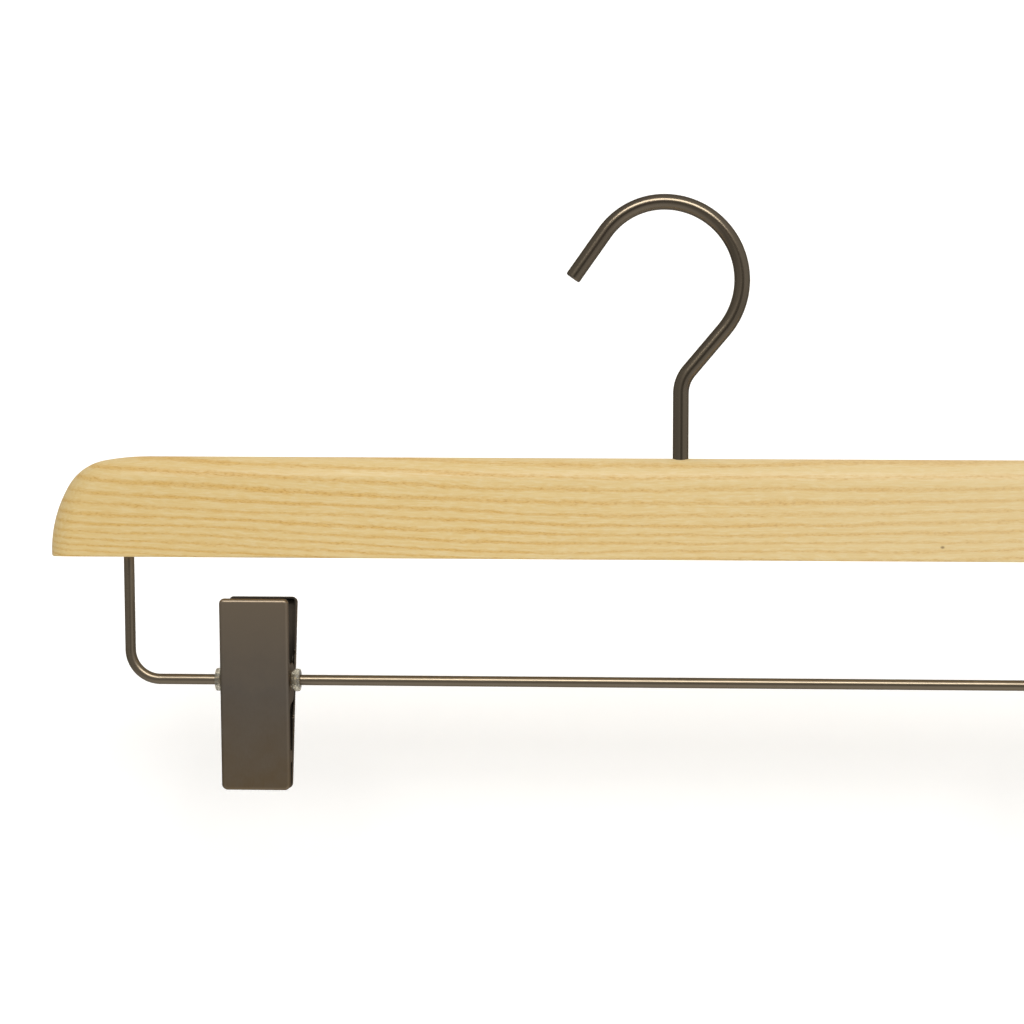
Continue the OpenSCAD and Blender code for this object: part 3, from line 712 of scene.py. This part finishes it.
for side, sx in (("left", -1), ("right", 1)):
    cx = sx * CLIP_X
    for which, s in (("outer", sx), ("inner", -sx)):
        b = bush(side + "_" + which + "_bush_turned", cx, s)
        soften(b, 45, 0.03, 1)
        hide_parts(side + "_" + which + "_bush")
        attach(b, side + "_bushes")
    for which in ("front", "rear"):
        j = jaw(side + "_" + which + "_jaw_pressed", cx, which == "rear")
        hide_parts(side + "_" + which + "_jaw")
        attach(j, side + "_" + which)
    sp = torsion_spring(side + "_spring_wound", cx)
    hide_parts(side + "_spring")
    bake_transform(sp)

# ---------------------------------------------------------------- kept nodes
kept = {
    "hook_bush": (M_STEEL, 0.15), "hook_washer": (M_STEEL, 0.12), "rail_brads": (M_STEEL, 0.1),
}
for side in ("left", "right"):
    kept[side + "_front_pad"] = (M_RUBBER, 0.12)
    kept[side + "_rear_pad"] = (M_RUBBER, 0.12)
for name, (m, w) in kept.items():
    o = nodes[name]
    o.data.materials.clear()
    o.data.materials.append(m)
    for p in o.data.polygons:
        p.material_index = 0
        p.use_smooth = True
    weld = o.modifiers.new("weld", "WELD")
    weld.merge_threshold = 1e-6
    soften(o, 35, w, 2)

# ---------------------------------------------------------------- stage
WALL_Y, FLOOR_Z, SWEEP_R = 98.0, -420.0, 120.0


def backdrop():
    """A plain pale floor that sweeps up into a plain wall behind the object."""
    line = [(-1400.0, FLOOR_Z)]
    line += [(WALL_Y - SWEEP_R + SWEEP_R * math.sin(rad(a)), FLOOR_Z + SWEEP_R - SWEEP_R * math.cos(rad(a))) for a in range(0, 91, 6)]
    line += [(WALL_Y, 900.0)]
    verts, faces = [], []
    for y, z in line:
        verts += [(-1500.0, y, z), (1500.0, y, z)]
    for i in range(len(line) - 1):
        faces.append((2 * i, 2 * i + 1, 2 * i + 3, 2 * i + 2))
    f = Mat("pale_backdrop")
    paper = f.noise(f.co, 0.35, 4.0, 0.6)
    col = f.mix(paper, (0.90, 0.895, 0.885), (0.93, 0.928, 0.92))
    f.set(Base_Color=col, Roughness=0.9, Emission_Color=(1, 0.995, 0.985, 1), Emission_Strength=0.265)
    # seen from behind, the backdrop isn't there; it fades out at its edges
    geo = f.t.nodes.new("ShaderNodeNewGeometry")
    clear = f.t.nodes.new("ShaderNodeBsdfTransparent")
    ms = f.t.nodes.new("ShaderNodeMixShader")
    far = f.math("MAXIMUM", f.span(f.y, -260.0, -900.0), f.span(f.math("ABSOLUTE", f.x), 650.0, 1150.0))
    f.t.links.new(f.math("MAXIMUM", geo.outputs["Backfacing"], far), ms.inputs[0])
    f.t.links.new(f.bsdf.outputs[0], ms.inputs[1])
    f.t.links.new(clear.outputs[0], ms.inputs[2])
    f.t.links.new(ms.outputs[0], f.out.inputs[0])
    me = bpy.data.meshes.new("backdrop")
    me.from_pydata([tuple(c * MM for c in v) for v in verts], [], faces)
    for p in me.polygons:
        p.use_smooth = True
    me.materials.append(f.m)
    o = bpy.data.objects.new("backdrop", me)
    bpy.context.scene.collection.objects.link(o)
    return o


back = backdrop()
back.visible_glossy = False


def area(name, loc, target, size, power, colour=(1, 1, 1), size_y=None):
    d = bpy.data.lights.new(name, "AREA")
    d.energy = power
    d.color = colour
    d.shape = "RECTANGLE"
    d.size = size * MM
    d.size_y = (size_y or size) * MM
    o = bpy.data.objects.new(name, d)
    o.location = Vector(loc) * MM
    o.rotation_mode = "QUATERNION"
    o.rotation_quaternion = (Vector(target) - Vector(loc)).to_track_quat("-Z", "Y")
    bpy.context.scene.collection.objects.link(o)
    return o


area("key", (0, -900, 622), (0, 0, -90), 820, 8.15, (1.0, 0.99, 0.97), 350)

w = bpy.data.worlds.new("studio")
bpy.context.scene.world = w
w.use_nodes = True
t = w.node_tree
t.nodes.clear()


def wnode(kind, **kw):
    n = t.nodes.new(kind)
    for k, v in kw.items():
        setattr(n, k, v)
    return n


def wspan(v, a, b, c, d):
    n = wnode("ShaderNodeMapRange", interpolation_type="SMOOTHSTEP")
    t.links.new(v, n.inputs[0])
    for i, k in enumerate((a, b, c, d)):
        n.inputs[i + 1].default_value = k
    return n.outputs[0]


def wmath(op, a, b):
    n = wnode("ShaderNodeMath", operation=op)
    for i, v in enumerate((a, b)):
        if isinstance(v, bpy.types.NodeSocket):
            t.links.new(v, n.inputs[i])
        else:
            n.inputs[i].default_value = v
    return n.outputs[0]


# the studio as the metal mirrors it: a dim right wall, a dimmer left wall, a
# lit table below, and a dark gap in the middle of the front
out = wnode("ShaderNodeOutputWorld")
tc = wnode("ShaderNodeTexCoord")
sep = wnode("ShaderNodeSeparateXYZ")
t.links.new(tc.outputs["Generated"], sep.inputs[0])
wx, wy, wz = sep.outputs
level = wspan(wx, -0.7, 0.7, 0.32, 0.53)
level = wmath("ADD", level, wspan(wz, -0.8, -0.28, 0.36, 0.0))
level = wmath("ADD", level, wspan(wz, -0.30, 0.15, 0.0, 0.10))
face = wnode("ShaderNodeVectorMath", operation="DOT_PRODUCT")
t.links.new(tc.outputs["Generated"], face.inputs[0])
face.inputs[1].default_value = (0.205, -0.979, 0.0)
level = wmath("MULTIPLY", level, wspan(face.outputs["Value"], 0.925, 0.978, 1.0, 0.28))
level = wmath("MULTIPLY", level, wspan(wy, 0.0, 0.6, 1.0, 0.70))
cmb = wnode("ShaderNodeCombineXYZ")
for i in range(3):
    t.links.new(level, cmb.inputs[i])
bg = wnode("ShaderNodeBackground")
t.links.new(cmb.outputs[0], bg.inputs[0])
plain = wnode("ShaderNodeBackground")
plain.inputs[0].default_value = (1, 1, 1, 1)
lp = wnode("ShaderNodeLightPath")
mixw = wnode("ShaderNodeMixShader")
t.links.new(lp.outputs["Is Camera Ray"], mixw.inputs[0])
t.links.new(bg.outputs[0], mixw.inputs[1])
t.links.new(plain.outputs[0], mixw.inputs[2])
t.links.new(mixw.outputs[0], out.inputs[0])

# ---------------------------------------------------------------- camera
cd = bpy.data.cameras.new("camera")
cam = bpy.data.objects.new("camera", cd)
bpy.context.scene.collection.objects.link(cam)
cd.sensor_width = 36.0
cd.lens = 92.583
cd.shift_x = -0.07
cd.clip_start, cd.clip_end = 0.01, 20.0
yaw, pitch, roll = rad(-2.0999), rad(0.1357), rad(0.3220)
fwd = Vector((math.sin(yaw) * math.cos(pitch), math.cos(yaw) * math.cos(pitch), math.sin(pitch)))
rgt = Vector((math.cos(yaw), -math.sin(yaw), 0))
upv = rgt.cross(fwd)
r2 = math.cos(roll) * rgt + math.sin(roll) * upv
u2 = -math.sin(roll) * rgt + math.cos(roll) * upv
rot = Matrix((r2, u2, -fwd)).transposed()
cam.matrix_world = Matrix.Translation(Vector((0.0, -750.0, -87.359)) * MM) @ rot.to_4x4()
bpy.context.scene.camera = cam

vs = bpy.context.scene.view_settings
vs.view_transform = "Standard"
vs.look = "None"
vs.exposure = 0.0
vs.gamma = 1.0
